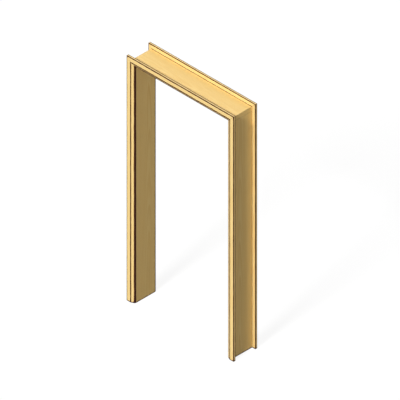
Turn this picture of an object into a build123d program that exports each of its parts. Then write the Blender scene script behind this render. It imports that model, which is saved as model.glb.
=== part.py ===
from build123d import *
import os

# A timber door frame: a lining of three boards that stands in a wall opening, with a
# splayed, mitred casing on each face of the wall. All sizes are in millimetres.
# X runs across the opening, Y runs through the wall and Z is up. The origin is on the
# floor, midway between the jambs and midway through the wall. The front casing faces -Y.

# The clear opening between the lining boards. Its width takes a 926 leaf with a gap of 3
# at each side.
clear_width = 932
clear_height = 2060

# The lining is as deep as the wall is thick, so that both casings lie flat on it.
wall_thickness = 200
lining_thickness = 40

# Each casing has a flat outer band and a splay that falls towards the opening.
casing_flat = 40
casing_splay = 29
casing_thickness = 19
casing_inner_edge = 5

# The casing is set back from the lining's face by a narrow margin.
margin = 3

# A tongue along the top of each jamb stands in a trench under the head, with a little room
# at its end and at each side.
tongue_thickness = 16
trench_depth = 12
tongue_end_gap = 1
tongue_side_gap = 0.2

# Corners that a hand can reach are eased.
lining_arris = 2
casing_arris = 1.5

# Places that follow from the sizes above
lining_middle = (clear_width + lining_thickness) / 2
lining_length = clear_width + 2 * lining_thickness
trench_width = tongue_thickness + 2 * tongue_side_gap
casing_width = casing_flat + casing_splay
casing_inner_x = clear_width / 2 + margin
casing_inner_z = clear_height + margin
casing_outer_x = casing_inner_x + casing_width
casing_top = casing_inner_z + casing_width
wall_face = wall_thickness / 2

# The casing's section, across from its inner edge and out from the wall
casing_corners = [
    (0, 0),
    (0, casing_inner_edge),
    (casing_splay, casing_thickness),
    (casing_width, casing_thickness),
    (casing_width, 0),
]


def make_jamb_lining(side):
    """One upright board of the lining, with the tongue along its top.

    side is -1 for the left board and 1 for the right one.
    """
    face_x = side * clear_width / 2
    with BuildPart() as jamb:
        # X of the sketch runs from the face in the opening into the wall.
        with BuildSketch(Plane(origin=(face_x, 0, 0), x_dir=(side, 0, 0), z_dir=(0, 0, 1))) as section:
            with Locations((lining_thickness / 2, 0)):
                Rectangle(lining_thickness, wall_thickness)
            fillet(section.vertices().group_by(Axis.X)[0], lining_arris)
        extrude(amount=clear_height)
        with BuildSketch(Plane.XY.offset(clear_height)):
            with Locations((side * lining_middle, 0)):
                Rectangle(tongue_thickness, wall_thickness)
        extrude(amount=trench_depth - tongue_end_gap)
    return jamb


def make_head_lining():
    """The board over the jambs, with a trench across its underside for each tongue."""
    with BuildPart() as head:
        with BuildSketch(Plane.YZ) as section:
            with Locations((0, clear_height + lining_thickness / 2)):
                Rectangle(wall_thickness, lining_thickness)
            fillet(section.vertices().group_by(Axis.Y)[0], lining_arris)
        extrude(amount=lining_length / 2, both=True)
        with BuildSketch(Plane.XY.offset(clear_height)):
            with Locations((-lining_middle, 0), (lining_middle, 0)):
                Rectangle(trench_width, wall_thickness)
        extrude(amount=trench_depth, mode=Mode.SUBTRACT)
    return head


def mitre_plane(side):
    """The cut from the inner to the outer corner of a casing, facing the head piece."""
    return Plane(origin=(side * casing_outer_x, 0, casing_top), z_dir=(-side, 0, 1))


def make_casing_section(corner):
    """The casing's section with its two shown arrises eased.

    corner is a plane at the back of the inner edge. Its X runs across the casing and its Y
    out from the wall.
    """
    with BuildSketch(corner) as section:
        with BuildLine():
            Polyline(*casing_corners, close=True)
        make_face()
        shown = section.vertices().filter_by(lambda vertex: vertex.Y > 0).sort_by(Axis.X)
        fillet([shown[0], shown[-1]], casing_arris)
    return section


def make_casing_leg(side, face):
    """One upright piece of a casing, mitred at its top.

    side is -1 at the left and 1 at the right, and face is -1 in front and 1 behind.
    """
    corner = Plane(
        origin=(side * casing_inner_x, face * wall_face, 0),
        x_dir=(side, 0, 0),
        z_dir=(0, 0, side * face),
    )
    section = make_casing_section(corner)
    with BuildPart() as leg:
        extrude(section.sketch, amount=side * face * casing_top)
        split(bisect_by=mitre_plane(side), keep=Keep.BOTTOM)
    return leg


def make_casing_head(face):
    """The level piece of a casing, mitred at both ends."""
    corner = Plane(
        origin=(0, face * wall_face, casing_inner_z),
        x_dir=(0, 0, 1),
        z_dir=(-face, 0, 0),
    )
    section = make_casing_section(corner)
    with BuildPart() as head:
        extrude(section.sketch, amount=casing_outer_x, both=True)
        for side in (-1, 1):
            split(bisect_by=mitre_plane(side), keep=Keep.TOP)
    return head


pieces = {
    "left_jamb_lining": make_jamb_lining(-1),
    "right_jamb_lining": make_jamb_lining(1),
    "head_lining": make_head_lining(),
}
for face_name, face in (("front", -1), ("rear", 1)):
    pieces[face_name + "_casing_left"] = make_casing_leg(-1, face)
    pieces[face_name + "_casing_right"] = make_casing_leg(1, face)
    pieces[face_name + "_casing_head"] = make_casing_head(face)

os.makedirs("parts", exist_ok=True)
for name, piece in pieces.items():
    piece.part.label = name
    export_step(piece.part, "parts/" + name + ".step")
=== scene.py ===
import bpy
import numpy as np
from mathutils import Matrix, Vector


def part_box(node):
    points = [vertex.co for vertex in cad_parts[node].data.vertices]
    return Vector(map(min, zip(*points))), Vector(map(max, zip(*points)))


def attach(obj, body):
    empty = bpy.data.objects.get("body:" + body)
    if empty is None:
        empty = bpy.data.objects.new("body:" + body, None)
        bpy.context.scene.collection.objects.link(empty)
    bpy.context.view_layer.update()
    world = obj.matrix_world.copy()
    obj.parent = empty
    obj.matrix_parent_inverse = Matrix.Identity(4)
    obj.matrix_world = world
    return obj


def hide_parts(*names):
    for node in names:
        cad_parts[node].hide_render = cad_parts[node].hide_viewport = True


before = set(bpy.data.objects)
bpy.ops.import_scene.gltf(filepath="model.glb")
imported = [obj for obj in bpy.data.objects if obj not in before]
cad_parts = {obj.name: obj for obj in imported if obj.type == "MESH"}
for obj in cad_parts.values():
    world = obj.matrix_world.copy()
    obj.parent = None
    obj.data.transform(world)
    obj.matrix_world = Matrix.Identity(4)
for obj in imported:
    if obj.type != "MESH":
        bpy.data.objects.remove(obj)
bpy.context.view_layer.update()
print("scene: the packed frame is loaded")

# Sizes that every board shares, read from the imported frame. All lengths are in metres.
jambLow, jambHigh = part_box("right_jamb_lining")
headLow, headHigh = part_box("head_lining")
casingLow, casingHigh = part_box("front_casing_right")
revealX = jambLow.x
wallFace = jambHigh.y
clearHeight = headLow.z
headHalfLength = headHigh.x
liningThickness = jambHigh.x - jambLow.x
casingInnerX = casingLow.x
casingWidth = casingHigh.x - casingLow.x
casingThickness = casingHigh.y - casingLow.y
casingInnerZ = casingHigh.z - casingWidth

boardMaking = {
    "arcSteps": 5,                  # faces round each eased corner
    "cornerReach": (0.010, 0.010),  # how far a corner is dark over the faces before and after it
    "mostReach": 0.45,              # and the most that this may be of a face's width
    "rowStep": 0.012,               # spacing of the rows along a board
    "endEase": 0.0003,              # how far the end of a board is eased
    "footFade": 0.0150,             # how far a foot is dark up the board
    "jointFade": 0.0012,            # how far a joint is dark along the board
    "calmNearEnds": 0.030,          # an eased corner runs evenly up to a joint over this length
    "radiusWaver": 0.25,            # share by which an eased corner's radius wavers
    "waverLength": 0.25,            # and about how long a waver is
    "dentRadius": 0.0011,           # most that a knock adds to a corner's radius
    "dentRadiusShares": (0.1, 1),   # a knock adds this share of it, squared
    "dentLength": 0.006,            # half length of a knock
    "dentLengthShares": (0.6, 2.2),
    "dentsPerMetre": 2.5,
    "smoothBelow": 0.6,             # corners gentler than this many radians are shaded smooth
}
waves = {
    "count": 6,
    "lengthShares": (0.5, 2.0),     # shortest and longest wave beside the length asked for
    "gain": 1.6,                    # brings their mean back to about -1 to 1
}


def smoothWave(along, waveLength, chance):
    # The mean of a few sines, each with its own length and its own start, times the gain.
    lengths = waveLength * chance.uniform(*waves["lengthShares"], waves["count"])
    starts = chance.uniform(0, 2 * np.pi, waves["count"])
    sines = np.sin(2 * np.pi * along[..., None] / lengths + starts)
    return sines.mean(axis=-1) * waves["gain"]


def roundedOutline(corners, radii, reaches, middles):
    # The outline of a board in columns, corner by corner. A column stands at its corner plus the radius
    # times its sway: on the arc, sway is the arc's own outward direction less the two sides' outward
    # directions added up and divided by one plus their dot product. Columns on the straight sides have
    # no sway. A column counts as an edge by 1 on the arc, and by less along a side, down to 0 where the
    # corner's reach over that side ends.
    corners = np.array(corners, float)
    before = corners - np.roll(corners, 1, axis=0)
    sideLength = np.linalg.norm(before, axis=1)
    before = before / sideLength[:, None]
    after = np.roll(before, -1, axis=0)
    outBefore = np.stack([before[:, 1], -before[:, 0]], axis=1)
    outAfter = np.stack([after[:, 1], -after[:, 0]], axis=1)
    share = np.linspace(0, 1, boardMaking["arcSteps"] + 1)[None, :, None]
    dot = np.sum(outBefore * outAfter, axis=1)[:, None, None]
    turn = np.arccos(dot)
    facing = np.sin((1 - share) * turn) * outBefore[:, None] + np.sin(share * turn) * outAfter[:, None]
    facing = facing / np.sin(turn)
    sway = facing - (outBefore + outAfter)[:, None] / (1 + dot)
    # A guard column stands on each side of every corner, where its reach ends or meets the next corner's.
    wantedBefore, wantedAfter = np.array(reaches, float).T
    reachBefore = np.minimum(wantedBefore, boardMaking["mostReach"] * sideLength)
    reachAfter = np.minimum(wantedAfter, boardMaking["mostReach"] * np.roll(sideLength, -1))
    edgeBefore = 1 - reachBefore / wantedBefore
    edgeAfter = 1 - reachAfter / wantedAfter
    guardBefore = corners - before * reachBefore[:, None]
    guardAfter = corners + after * reachAfter[:, None]
    nextGuard = np.roll(guardBefore, -1, axis=0)
    arcCount = facing.shape[1]
    place, swayed, outward, corner, edge = [], [], [], [], []
    for i in range(len(corners)):
        steps = np.linspace(0, 1, middles[i] + 2)[:-1, None]
        flat = guardAfter[i] + steps * (nextGuard[i] - guardAfter[i])
        place += [guardBefore[i:i + 1], np.repeat(corners[i:i + 1], arcCount, axis=0), flat]
        swayed += [np.zeros((1, 2)), sway[i], np.zeros((len(flat), 2))]
        outward += [outBefore[i:i + 1], facing[i], np.repeat(outAfter[i:i + 1], len(flat), axis=0)]
        corner += [np.full(1 + arcCount + len(flat), i)]
        edge += [edgeBefore[i:i + 1], np.ones(arcCount), np.full(len(flat), edgeAfter[i])]
    corner = np.concatenate(corner)
    return {
        "place": np.vstack(place),
        "sway": np.vstack(swayed),
        "outward": np.vstack(outward),
        "corner": corner,
        "radius": np.array(radii)[corner],
        "edge": np.concatenate(edge),
    }


def boardRows(length, startFade, endFade):
    # The rows along a board. Each has a share of the way from its start to its end, a distance added to
    # that, how far the outline is drawn in there, and how much it counts as an edge. Two rows ease each
    # end. The others are evenly spaced, from where the dark of the start has faded to where that of the
    # end begins.
    ease = boardMaking["endEase"]
    count = int(length / boardMaking["rowStep"])
    share = np.linspace(0, 1, count)
    added = startFade * (1 - share) - endFade * share
    middle = np.stack([share, added, np.zeros(count), np.zeros(count)], axis=1)
    start = np.array([[0, 0, ease, 1], [0, ease, 0, 1]])
    end = np.array([[1, -ease, 0, 1], [1, 0, ease, 1]])
    return np.vstack([start, middle, end])


def squareEnd(at):
    # Every point of the outline ends at the same place.
    return lambda across: np.full_like(across, at)


def mitredEnd(at, way):
    # A point ends further along by as much as it lies outwards. way is 1 at a far end and -1 at a start.
    return lambda across: at + way * across


def cornerKnocks(along, length, chance):
    # What knocks add to a corner's radius: each is a bell curve round its own place along the board.
    count = int(boardMaking["dentsPerMetre"] * length)
    at = chance.uniform(0, length, count)
    deep = boardMaking["dentRadius"] * chance.uniform(*boardMaking["dentRadiusShares"], count) ** 2
    halfLength = boardMaking["dentLength"] * chance.uniform(*boardMaking["dentLengthShares"], count)
    return (deep * np.exp(-((along[:, None] - at) / halfLength) ** 2)).sum(axis=1)


def boardGrid(outline, rows, startAt, endAt, worn, chance):
    # A board is its outline carried along a straight path, from startAt to endAt of each point of the
    # outline. The radius of a worn corner is multiplied by one plus its waver and grows by its knocks.
    # Both are calmed towards the ends by a smooth step.
    share, added, drawnIn, endEdge = rows.T[..., None]
    start = startAt(outline["place"][:, 0])[None]
    end = endAt(outline["place"][:, 0])[None]
    along = start + (end - start) * share + added
    length = float((end - start).max())
    middleLine = (share * length)[:, 0]
    fromEnd = np.minimum(share * length + added, (1 - share) * length - added)[:, 0]
    calm = np.clip(fromEnd / boardMaking["calmNearEnds"], 0, 1)
    calm = calm * calm * (3 - 2 * calm)
    radius = np.repeat(outline["radius"][None], len(rows), axis=0)
    for corner in worn:
        waver = boardMaking["radiusWaver"] * smoothWave(middleLine, boardMaking["waverLength"], chance)
        knocks = cornerKnocks(middleLine, length, chance)
        columns = outline["corner"] == corner
        radius[:, columns] *= 1 + (waver * calm)[:, None]
        radius[:, columns] += (knocks * calm)[:, None]
    placed = outline["place"][None] + outline["sway"][None] * radius[..., None]
    placed = placed - outline["outward"][None] * drawnIn[..., None]
    edge = np.maximum(outline["edge"][None], endEdge)
    return {"across": placed[..., 0], "out": placed[..., 1], "along": along, "edge": edge}


def makeBoard(name, grid, place, pith, material):
    # The grid's three lengths go along the board's own three directions from its origin. Each ring of
    # columns closes on itself, and each end is closed by flat triangles round its middle. Where the
    # three directions are mirrored, the faces are turned round.
    ownKeys = ("across", "out", "along")
    directions = np.array([place[key] for key in ownKeys], float)
    own = np.stack([grid[key] for key in ownKeys], axis=-1)
    own = np.vstack([own.reshape(-1, 3), own[[0, -1]].mean(axis=1)])
    points = np.array(place["origin"], float) + own @ directions
    rowCount, columnCount = grid["across"].shape
    index = np.arange(rowCount * columnCount).reshape(rowCount, columnCount)
    nextColumn = np.roll(index, -1, axis=1)
    sides = np.stack([index[:-1], nextColumn[:-1], nextColumn[1:], index[1:]], axis=-1).reshape(-1, 4)
    startMiddle = np.full(columnCount, index.size)
    endMiddle = startMiddle + 1
    startFaces = np.stack([startMiddle, nextColumn[0], index[0]], axis=-1)
    endFaces = np.stack([endMiddle, index[-1], nextColumn[-1]], axis=-1)
    ends = np.vstack([startFaces, endFaces])
    if np.linalg.det(directions) < 0:
        sides, ends = sides[:, ::-1], ends[:, ::-1]
    mesh = bpy.data.meshes.new(name)
    mesh.from_pydata(points, [], sides.tolist() + ends.tolist())
    # The grain is told in the tree's own lengths, which start at its pith.
    grain = own + [-pith[0], -pith[1], pith[2]]
    grainSpace = mesh.attributes.new("grainSpace", "FLOAT_VECTOR", "POINT")
    grainSpace.data.foreach_set("vector", grain.astype(np.float32).ravel())
    # The ends keep their own colour up to their edges, so the arris value belongs to a face's corner.
    arris = mesh.attributes.new("arris", "FLOAT", "CORNER")
    arrisValues = np.concatenate([grid["edge"].ravel()[sides.ravel()], np.zeros(ends.size)])
    arris.data.foreach_set("value", arrisValues.astype(np.float32))
    mesh.polygons.foreach_set("use_smooth", np.ones(len(mesh.polygons), bool))
    mesh.set_sharp_from_angle(angle=boardMaking["smoothBelow"])
    mesh.materials.append(material)
    mesh.validate()
    board = bpy.data.objects.new(name, mesh)
    bpy.context.scene.collection.objects.link(board)
    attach(board, "root")
    return board


def newGroup(name, inputs, outputs):
    # A shader node group with its named inputs and outputs, each a Float or a Vector.
    group = bpy.data.node_groups.new(name, "ShaderNodeTree")
    for label, kind in inputs.items():
        group.interface.new_socket(label, in_out="INPUT", socket_type="NodeSocket" + kind)
    for label, kind in outputs.items():
        group.interface.new_socket(label, in_out="OUTPUT", socket_type="NodeSocket" + kind)
    return group, group.nodes.new("NodeGroupInput"), group.nodes.new("NodeGroupOutput")


def addNode(tree, kind, settings=None, **inputs):
    # A node with its settings, and its inputs set to a value or linked to another node's output. An
    # input goes by its name, or by its number as in0, in1 and so on.
    node = tree.nodes.new(kind)
    for key, value in (settings or {}).items():
        setattr(node, key, value)
    for key, value in inputs.items():
        socket = node.inputs[int(key[2:])] if key.startswith("in") else node.inputs[key]
        if isinstance(value, bpy.types.NodeSocket):
            tree.links.new(value, socket)
        else:
            socket.default_value = value
    return node


def maths(tree, operation, first, second=0.0, third=0.0):
    # The output of a node that reckons with numbers. MULTIPLY_ADD is first times second plus third.
    settings = {"operation": operation}
    return addNode(tree, "ShaderNodeMath", settings, in0=first, in1=second, in2=third).outputs[0]


def vectorMaths(tree, operation, first, **others):
    # A node that reckons with vectors.
    return addNode(tree, "ShaderNodeVectorMath", {"operation": operation}, in0=first, **others)


def fade(tree, value, low, high):
    # 0 at low, 1 at high, a smooth step between them and no further change beyond either.
    settings = {"interpolation_type": "SMOOTHSTEP"}
    return addNode(tree, "ShaderNodeMapRange", settings, in0=value, in1=low, in2=high).outputs[0]


def stretchedNoise(tree, point, look):
    # Noise that is drawn out along the grain.
    scale = (look["across"], look["across"], look["along"])
    stretched = vectorMaths(tree, "MULTIPLY", point, in1=scale).outputs[0]
    return addNode(tree, "ShaderNodeTexNoise", Vector=stretched, Scale=1.0, Detail=look["detail"])


# Each noise has its waves a metre across and along the grain, and its detail in layers.
grainLook = {
    "wander": {"across": 5.0, "along": 0.9, "detail": 2.0},
    "fibres": {"across": 650.0, "along": 7.0, "detail": 3.0},
    "pores": {"across": 1500.0, "along": 40.0, "detail": 1.0},
    "streaks": {"across": 28.0, "along": 0.7, "detail": 3.0},
    "poreLimits": (0.60, 0.74),     # where the pores' noise begins to show, and where it shows in full
    "taper": 0.012,                 # how fast the rings widen along the tree
    "lateWood": (0.15, 0.88),       # shares of a ring over which it darkens
    "nextSpring": (1.0, 0.9),       # and over which it is pale again
    "leastRing": 0.4,               # the faintest ring beside the strongest, which is 1
}


def makeGrainGroup():
    # Year rings are shells round the pith: the distance from it, wandering a little and growing along the
    # tree, is divided by the ring spacing. Within a ring the wood darkens slowly to its late edge and then
    # starts pale again.
    inputs = {"Point": "Vector", "Ring Spacing": "Float", "Wander": "Float"}
    outputs = {"Rings": "Float", "Fibres": "Float", "Pores": "Float", "Streaks": "Float"}
    group, enter, leave = newGroup("timberGrain", inputs, outputs)
    point = enter.outputs["Point"]
    slow = stretchedNoise(group, point, grainLook["wander"]).outputs["Color"]
    sway = vectorMaths(group, "SUBTRACT", slow, in1=(0.5, 0.5, 0.5)).outputs[0]
    sway = vectorMaths(group, "SCALE", sway, Scale=enter.outputs["Wander"]).outputs[0]
    moved = vectorMaths(group, "ADD", point, in1=sway).outputs[0]
    flat = vectorMaths(group, "MULTIPLY", moved, in1=(1, 1, 0)).outputs[0]
    distance = vectorMaths(group, "LENGTH", flat).outputs["Value"]
    along = addNode(group, "ShaderNodeSeparateXYZ", in0=point).outputs["Z"]
    distance = maths(group, "MULTIPLY_ADD", along, grainLook["taper"], distance)
    ring = maths(group, "DIVIDE", distance, enter.outputs["Ring Spacing"])
    part = maths(group, "FRACT", ring)
    number = maths(group, "FLOOR", ring)
    ringChance = addNode(group, "ShaderNodeTexWhiteNoise", {"noise_dimensions": "1D"}, W=number)
    least = grainLook["leastRing"]
    strength = maths(group, "MULTIPLY_ADD", ringChance.outputs["Value"], 1 - least, least)
    darkening = fade(group, part, *grainLook["lateWood"])
    late = maths(group, "MULTIPLY", darkening, fade(group, part, *grainLook["nextSpring"]))
    group.links.new(maths(group, "MULTIPLY", late, strength), leave.inputs["Rings"])
    fibres = stretchedNoise(group, point, grainLook["fibres"]).outputs[0]
    group.links.new(fibres, leave.inputs["Fibres"])
    pores = stretchedNoise(group, point, grainLook["pores"]).outputs[0]
    group.links.new(fade(group, pores, *grainLook["poreLimits"]), leave.inputs["Pores"])
    streaks = stretchedNoise(group, point, grainLook["streaks"]).outputs[0]
    group.links.new(streaks, leave.inputs["Streaks"])
    return group


arrisLook = {
    "noise": {"across": 500.0, "along": 12.0, "detail": 3.0},
    "raggedness": 0.54,             # how far the noise moves the arris value, half of it each way
    "softness": 0.42,               # change of the arris value over which the stain's edge fades
}


def makeArrisGroup():
    # Along each corner the finish has darkened, and on the splay under the head the broader dark is
    # painted shade. The mesh says how near a corner is, and noise drawn out along the grain lets the dark
    # run into the fibres.
    inputs = {"Arris": "Float", "Point": "Vector", "Spread": "Float"}
    group, enter, leave = newGroup("arrisWearAndShade", inputs, {"Wear And Shade": "Float"})
    noise = stretchedNoise(group, enter.outputs["Point"], arrisLook["noise"]).outputs[0]
    raggedness = arrisLook["raggedness"]
    broken = maths(group, "MULTIPLY_ADD", noise, raggedness, -raggedness / 2)
    near = maths(group, "ADD", enter.outputs["Arris"], broken)
    low = maths(group, "SUBTRACT", 1.0, enter.outputs["Spread"])
    high = maths(group, "ADD", low, arrisLook["softness"])
    group.links.new(fade(group, near, low, high), leave.inputs["Wear And Shade"])
    return group


def makeTimber(name, look, grainGroup, arrisGroup):
    # Grain between two tones of wood, with the stain over it, which on the splay under the head is painted
    # shade. Roughness and bump follow the same grain.
    material = bpy.data.materials.new(name)
    material.use_nodes = True
    tree = material.node_tree
    shader = tree.nodes["Principled BSDF"]
    point = addNode(tree, "ShaderNodeAttribute", {"attribute_name": "grainSpace"}).outputs["Vector"]
    arris = addNode(tree, "ShaderNodeAttribute", {"attribute_name": "arris"}).outputs["Fac"]
    grain = addNode(tree, "ShaderNodeGroup", {"node_tree": grainGroup}, Point=point)
    grain.inputs["Ring Spacing"].default_value = look["ringSpacing"]
    grain.inputs["Wander"].default_value = look["wander"]
    rings, fibres, pores, streaks = (grain.outputs[key] for key in ("Rings", "Fibres", "Pores", "Streaks"))
    worn = {"Point": point, "Arris": arris, "Spread": look["wearAndShadeSpread"]}
    wearAndShade = addNode(tree, "ShaderNodeGroup", {"node_tree": arrisGroup}, **worn).outputs["Wear And Shade"]
    darkness = maths(tree, "MULTIPLY", rings, look["ringDepth"])
    darkness = maths(tree, "MULTIPLY_ADD", streaks, look["streakDepth"], darkness)
    darkness = maths(tree, "MULTIPLY_ADD", fibres, look["fibreDepth"], darkness)
    darkness = maths(tree, "MULTIPLY_ADD", pores, look["poreDepth"], darkness)
    mix = {"data_type": "RGBA", "clamp_factor": True}
    tones = {"in6": look["paleWood"], "in7": look["darkWood"]}
    wood = addNode(tree, "ShaderNodeMix", mix, in0=darkness, **tones).outputs[2]
    # The stain, and the painted shade made with it, passes less light the deeper it is, so its edge is
    # warm brown and its middle nearly black.
    depth = maths(tree, "MULTIPLY", wearAndShade, look["stainAndShadeDepth"])
    stainAndShade = addNode(tree, "ShaderNodeGamma", Color=look["stainAndShade"], Gamma=depth).outputs[0]
    times = {"data_type": "RGBA", "blend_type": "MULTIPLY"}
    colour = addNode(tree, "ShaderNodeMix", times, in0=1.0, in6=wood, in7=stainAndShade).outputs[2]
    tree.links.new(colour, shader.inputs["Base Color"])
    rough = maths(tree, "MULTIPLY_ADD", fibres, look["roughVariation"], look["roughness"])
    rough = maths(tree, "MULTIPLY_ADD", wearAndShade, look["wornRoughness"], rough)
    tree.links.new(rough, shader.inputs["Roughness"])
    height = maths(tree, "MULTIPLY_ADD", rings, look["ringHeight"], fibres)
    height = maths(tree, "SUBTRACT", height, pores)
    relief = {"Strength": look["bumpStrength"], "Distance": look["bumpDistance"], "Height": height}
    bump = addNode(tree, "ShaderNodeBump", **relief).outputs[0]
    tree.links.new(bump, shader.inputs["Normal"])
    shader.inputs["Specular IOR Level"].default_value = look["specular"]
    return material


timberLook = {
    "ringSpacing": 0.0042,
    "wander": 0.030,                # how far the rings stray from round
    "ringDepth": 0.42,              # how far each part of the grain goes from the pale wood to the dark
    "streakDepth": 0.35,
    "fibreDepth": 0.30,
    "poreDepth": 0.25,
    "paleWood": (0.99, 0.765, 0.338, 1),
    "darkWood": (0.90, 0.60, 0.213, 1),
    "stainAndShade": (0.40, 0.26, 0.14, 1),  # what a layer of stain leaves of the wood's colour
    "stainAndShadeDepth": 3.6,              # layers of it where it is darkest
    "wearAndShadeSpread": 0.60,             # share of a corner's reach that the stain covers
    "roughness": 0.40,
    "roughVariation": 0.20,         # added over the fibres
    "wornRoughness": 0.30,          # added over the stain
    "ringHeight": 0.5,              # height of a ring beside that of a fibre
    "bumpStrength": 0.25,
    "bumpDistance": 0.0004,
    "specular": 0.25,
}
# The lining's tones are deeper and more orange than the casing's. The difference is painted light: the
# casing's paler tone stands for a sheen on its front faces, which the lining's top and sides lack.
liningLook = {
    **timberLook,
    "ringSpacing": 0.0048,
    "paleWood": (0.98, 0.73, 0.29, 1),
    "darkWood": (0.82, 0.51, 0.15, 1),
}
grainGroup = makeGrainGroup()
arrisGroup = makeArrisGroup()
casingTimber = makeTimber("casingTimber", timberLook, grainGroup, arrisGroup)
liningTimber = makeTimber("liningTimber", liningLook, grainGroup, arrisGroup)
print("scene: the timber is ready")

# Every board has a seed for its wavers and knocks, and the place of its tree's pith: how far across the
# board it lies and how far outwards, and how far up the tree the board begins.
lining = {
    "arris": 0.002,                 # eased corners in the opening
    "hiddenArris": 0.0005,
    "tongue": 0.016,                # thickness of the tongue on a jamb
    "trench": 0.012,                # depth of the trench under the head
    "tongueEndGap": 0.001,
    "tongueSideGap": 0.0002,
    "trenchSlope": 0.00002,         # how far a side of the trench leans
    "jambWallReach": (0.004, 0.004),  # a jamb's two corners in the wall are dark over less of its faces
    "middles": (2, 14, 2, 14),      # columns along each side of the outline
    "worn": (0, 3),                 # numbers of the corners that waver and have knocks
    "left": {"seed": 11, "pith": (-0.085, 0.030, 1.3)},
    "right": {"seed": 12, "pith": (0.120, -0.025, 5.7)},
    "head": {"seed": 13, "pith": (-0.070, -0.040, 9.1)},
}
liningCorners = [
    (0, -wallFace),
    (liningThickness, -wallFace),
    (liningThickness, wallFace),
    (0, wallFace),
]
liningRadii = [lining["arris"], lining["hiddenArris"], lining["hiddenArris"], lining["arris"]]
usualReach = boardMaking["cornerReach"]
jambReaches = [usualReach, lining["jambWallReach"], lining["jambWallReach"], usualReach]
jambOutline = roundedOutline(liningCorners, liningRadii, jambReaches, lining["middles"])
headLiningOutline = roundedOutline(liningCorners, liningRadii, [usualReach] * 4, lining["middles"])


def makeJamb(side, name, seed, pith):
    # The rows past the shoulder are narrowed to the tongue about the middle of the board.
    chance = np.random.default_rng(seed)
    body = boardRows(clearHeight, boardMaking["footFade"], boardMaking["jointFade"])
    top = lining["trench"] - lining["tongueEndGap"]
    ease = boardMaking["endEase"]
    tongue = np.array([[1, 0, 0, 0], [1, top - ease, 0, 0], [1, top, ease, 0]])
    rows = np.vstack([body, tongue])
    grid = boardGrid(jambOutline, rows, squareEnd(0), squareEnd(clearHeight), lining["worn"], chance)
    middle = liningThickness / 2
    narrow = np.ones((len(rows), 1))
    narrow[len(body):] = lining["tongue"] / liningThickness
    grid["across"] = middle + (grid["across"] - middle) * narrow
    place = {
        "origin": (side * revealX, 0, 0),
        "across": (side, 0, 0),
        "out": (0, 1, 0),
        "along": (0, 0, 1),
    }
    board = makeBoard(name + "_board", grid, place, pith, liningTimber)
    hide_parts(name)


def makeHeadLining(seed, pith):
    # Between the two edges of each trench the underside is lifted by the trench's depth, and a point
    # above it by less and less: by the depth times one minus its share of the way up the board. The
    # usual rows that fall in a trench are left out, and it has four rows of its own at its edges.
    chance = np.random.default_rng(seed)
    length = 2 * headHalfLength
    halfWidth = lining["tongue"] / 2 + lining["tongueSideGap"]
    near = liningThickness / 2 - halfWidth
    far = liningThickness / 2 + halfWidth
    slope = lining["trenchSlope"]
    edges = np.array([near, near + slope, far - slope, far])
    lift = np.array([0, 1, 1, 0])
    startRows = np.array([[0, distance, 0, 0] for distance in edges])
    endRows = np.array([[1, -distance, 0, 0] for distance in edges[::-1]])
    rows = boardRows(length, boardMaking["jointFade"], boardMaking["jointFade"])
    placed = rows[:, 0] * length + rows[:, 1]
    first = rows[placed < near]
    between = rows[(placed > far) & (placed < length - far)]
    last = rows[placed > length - near]
    rows = np.vstack([first, startRows, between, endRows, last])
    lifted = [np.zeros(len(first)), lift, np.zeros(len(between)), lift, np.zeros(len(last))]
    lifted = lining["trench"] * np.concatenate(lifted)[:, None]
    ends = squareEnd(-headHalfLength), squareEnd(headHalfLength)
    grid = boardGrid(headLiningOutline, rows, *ends, lining["worn"], chance)
    grid["across"] += lifted * (1 - grid["across"] / liningThickness)
    place = {
        "origin": (0, 0, clearHeight),
        "across": (0, 0, 1),
        "out": (0, 1, 0),
        "along": (1, 0, 0),
    }
    board = makeBoard("head_lining_board", grid, place, pith, liningTimber)
    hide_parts("head_lining")


makeJamb(-1, "left_jamb_lining", **lining["left"])
makeJamb(1, "right_jamb_lining", **lining["right"])
makeHeadLining(**lining["head"])
print("scene: the lining is made")

casing = {
    "splay": 0.029,                 # width of the sloping band beside the opening
    "innerEdge": 0.005,             # thickness left at the opening
    "arris": 0.0015,
    "ridgeArris": 0.0006,           # where the flat band meets the splay
    "backArris": 0.0005,
    "legInnerReach": (0.0155, 0.0155),  # at the opening the dark line is broader than elsewhere
    "headRidgeReach": (0.010, 0.020),   # and on the splay under the head both lines are broader still, as painted shade for the shadow that the splay hangs in
    "headInnerReach": (0.036, 0.015),
    "middles": (5, 1, 3, 3, 0),     # columns along each side of the outline
    "worn": (2, 4),                 # numbers of the corners that waver and have knocks
    "front": {
        "left": {"seed": 21, "pith": (-0.02, -0.060, 44.1)},
        "right": {"seed": 22, "pith": (0.05, -0.075, 35.7)},
        "head": {"seed": 23, "pith": (0.03, 0.050, 27.3)},
    },
    "rear": {
        "left": {"seed": 31, "pith": (0.02, -0.060, 65.1)},
        "right": {"seed": 32, "pith": (0.05, -0.075, 52.7)},
        "head": {"seed": 33, "pith": (0.03, -0.050, 40.3)},
    },
}
casingCorners = [
    (0, 0),
    (casingWidth, 0),
    (casingWidth, casingThickness),
    (casing["splay"], casingThickness),
    (0, casing["innerEdge"]),
]
casingRadii = [casing[key] for key in ("backArris", "backArris", "arris", "ridgeArris", "arris")]
legReaches = [usualReach] * 4 + [casing["legInnerReach"]]
legOutline = roundedOutline(casingCorners, casingRadii, legReaches, casing["middles"])
# On both head casings the broader dark lines on the splay are painted shade, not wear.
headReaches = [usualReach] * 3 + [casing["headRidgeReach"], casing["headInnerReach"]]
headOutline = roundedOutline(casingCorners, casingRadii, headReaches, casing["middles"])


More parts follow.
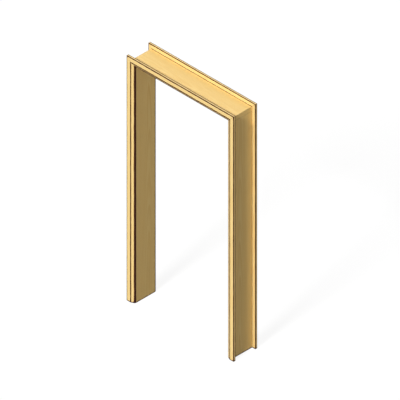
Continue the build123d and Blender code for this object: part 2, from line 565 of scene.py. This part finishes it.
def makeCasingLeg(side, face, name, seed, pith):
    # Square at the floor and mitred at the top.
    chance = np.random.default_rng(seed)
    rows = boardRows(casingInnerZ, boardMaking["footFade"], boardMaking["jointFade"])
    grid = boardGrid(legOutline, rows, squareEnd(0), mitredEnd(casingInnerZ, 1), casing["worn"], chance)
    place = {
        "origin": (side * casingInnerX, face * wallFace, 0),
        "across": (side, 0, 0),
        "out": (0, face, 0),
        "along": (0, 0, 1),
    }
    board = makeBoard(name + "_board", grid, place, pith, casingTimber)
    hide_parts(name)


def makeCasingHead(face, name, seed, pith):
    # Mitred at both ends.
    chance = np.random.default_rng(seed)
    rows = boardRows(2 * casingInnerX, boardMaking["jointFade"], boardMaking["jointFade"])
    ends = mitredEnd(-casingInnerX, -1), mitredEnd(casingInnerX, 1)
    grid = boardGrid(headOutline, rows, *ends, casing["worn"], chance)
    place = {
        "origin": (0, face * wallFace, casingInnerZ),
        "across": (0, 0, 1),
        "out": (0, face, 0),
        "along": (1, 0, 0),
    }
    board = makeBoard(name + "_board", grid, place, pith, casingTimber)
    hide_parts(name)


for faceName, face in (("front", -1), ("rear", 1)):
    makeCasingLeg(-1, face, faceName + "_casing_left", **casing[faceName]["left"])
    makeCasingLeg(1, face, faceName + "_casing_right", **casing[faceName]["right"])
    makeCasingHead(face, faceName + "_casing_head", **casing[faceName]["head"])
print("scene: the casings are made")

floorLook = {
    "halfSide": 40.0,
    "paint": (0.12, 0.12, 0.12, 1),  # what takes the shadow
    "glow": 0.90,                    # what makes it white where it is seen directly
}


def seenDirectly(tree):
    # 1 where the camera, a reflection or a view through glass meets it, and 0 for light that bounces.
    path = addNode(tree, "ShaderNodeLightPath")
    seen = maths(tree, "ADD", path.outputs["Is Camera Ray"], path.outputs["Is Glossy Ray"])
    seen = maths(tree, "ADD", seen, path.outputs["Is Transmission Ray"])
    return maths(tree, "MINIMUM", seen, 1.0)


def makeFloor():
    # A flat square at the frame's feet, whose paint and glow are added up.
    half = floorLook["halfSide"]
    corners = np.array([(-half, -half, 0), (half, -half, 0), (half, half, 0), (-half, half, 0)])
    mesh = bpy.data.meshes.new("floor")
    mesh.from_pydata(corners, [], [(0, 1, 2, 3)])
    material = bpy.data.materials.new("paleFloor")
    material.use_nodes = True
    tree = material.node_tree
    tree.nodes.remove(tree.nodes["Principled BSDF"])
    paint = addNode(tree, "ShaderNodeBsdfDiffuse", Color=floorLook["paint"]).outputs[0]
    glowStrength = maths(tree, "MULTIPLY", seenDirectly(tree), floorLook["glow"])
    glow = addNode(tree, "ShaderNodeEmission", Color=(1, 1, 1, 1), Strength=glowStrength).outputs[0]
    both = addNode(tree, "ShaderNodeAddShader", in0=paint, in1=glow).outputs[0]
    tree.links.new(both, tree.nodes["Material Output"].inputs["Surface"])
    mesh.materials.append(material)
    floor = bpy.data.objects.new("floor", mesh)
    bpy.context.scene.collection.objects.link(floor)


makeFloor()

# Each lamp has the direction that its light comes from, its share of full light on a face turned to it,
# and how wide it looks in degrees.
lamps = {
    "frontLamp": {"from": (0.112, -0.75, 0.645), "share": 1.10, "width": 12},
    "rightLamp": {"from": (1.0, 0.0, 0.10), "share": 0.16, "width": 30},
    "rearLamp": {"from": (-0.55, 0.80, 0.10), "share": 0.60, "width": 60},
}
worldLook = {
    "white": 1.0,                   # where it is seen directly
    "ambient": 0.14,                # what it lights the frame with
}


def makeLamps():
    # A sun of strength pi gives full light on a face turned to it.
    for name, lamp in lamps.items():
        data = bpy.data.lights.new(name, "SUN")
        data.energy = lamp["share"] * np.pi
        data.angle = np.radians(lamp["width"])
        sun = bpy.data.objects.new(name, data)
        sun.rotation_euler = Vector(lamp["from"]).to_track_quat("Z", "Y").to_euler()
        bpy.context.scene.collection.objects.link(sun)


def makeWorld():
    # A white world, of which only the ambient share lights the frame.
    world = bpy.data.worlds.new("studio")
    world.use_nodes = True
    tree = world.node_tree
    step = worldLook["white"] - worldLook["ambient"]
    strength = maths(tree, "MULTIPLY_ADD", seenDirectly(tree), step, worldLook["ambient"])
    background = tree.nodes["Background"]
    background.inputs["Color"].default_value = (1, 1, 1, 1)
    tree.links.new(strength, background.inputs["Strength"])
    bpy.context.scene.world = world


makeLamps()
makeWorld()
print("scene: floor, lamps and world are set")

view = {
    "pictureWidth": 2.845,          # metres that the square picture takes in
    "picturePixels": 400,
    "originPixel": (191.91, 324.18),  # where the frame's origin stands in the picture, from its top left
    "distance": 9.0,
    "clipEnd": 100.0,
}


def makeCamera():
    # A parallel view from the front right and above, in which the three axes are equally foreshortened.
    towards = np.array([-1, 1, -1]) / np.sqrt(3)
    right = np.array([1, 1, 0]) / np.sqrt(2)
    up = np.cross(right, towards)
    perPixel = view["pictureWidth"] / view["picturePixels"]
    middle = view["picturePixels"] / 2
    originRight, originDown = view["originPixel"]
    centre = right * (middle - originRight) * perPixel + up * (originDown - middle) * perPixel
    data = bpy.data.cameras.new("camera")
    data.type = "ORTHO"
    data.ortho_scale = view["pictureWidth"]
    data.clip_end = view["clipEnd"]
    camera = bpy.data.objects.new("camera", data)
    turned = Matrix(np.stack([right, up, -towards], axis=1).tolist()).to_4x4()
    camera.matrix_world = Matrix.Translation(centre - towards * view["distance"]) @ turned
    bpy.context.scene.collection.objects.link(camera)
    bpy.context.scene.camera = camera


makeCamera()
bpy.context.scene.view_settings.view_transform = "Standard"
print("scene: the camera is set")
